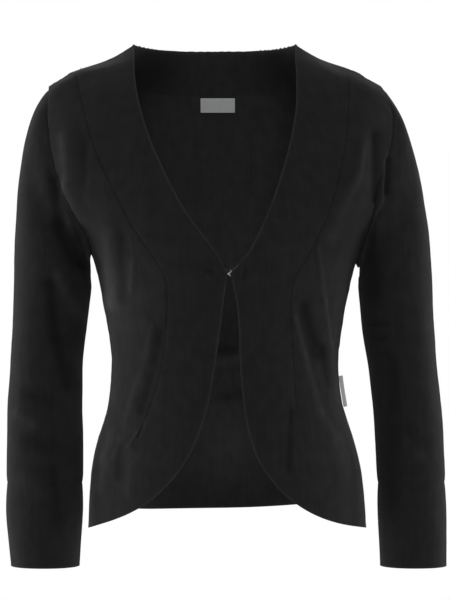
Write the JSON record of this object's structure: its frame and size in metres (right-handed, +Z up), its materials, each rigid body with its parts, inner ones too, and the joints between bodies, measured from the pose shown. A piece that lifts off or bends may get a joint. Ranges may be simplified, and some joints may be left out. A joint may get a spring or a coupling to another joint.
{
  "type": "cropped cardigan",
  "caption": "Cropped knit cardigan in its worn hollow form: V neck, wide bands curving from neck to hem, hook closure, three-quarter sleeves with cuffs",
  "frame": {"origin": "midway between the two side-neck points, where the garment hangs on the shoulders", "axes": "+Z up; the front faces -Y; +X is the wearer's left"},
  "size_m": [0.5077, 0.2153, 0.601],
  "materials": {
    "fine_knit": "fine single jersey, matte black",
    "band_knit": "fine single jersey band, matte black",
    "cuff_knit": "fine double jersey cuff, matte black",
    "neck_label_satin": "woven satin, bare",
    "care_label_satin": "printed-label satin, bare",
    "hook_steel": "nickel-plated wire",
    "eye_wire_black": "black-coated wire"
  },
  "bodies": {
    "root": {"back": "fine_knit", "side_front_left": "fine_knit", "side_front_right": "fine_knit", "front_band_left": "band_knit", "front_band_right": "band_knit", "back_neckband": "band_knit", "back_hem_band": "band_knit", "sleeve_left": "fine_knit", "sleeve_right": "fine_knit", "cuff_left": "cuff_knit", "cuff_right": "cuff_knit", "neck_label": "neck_label_satin", "care_label": "care_label_satin", "hook": "hook_steel", "eye": "eye_wire_black"}
  },
  "joints": []
}
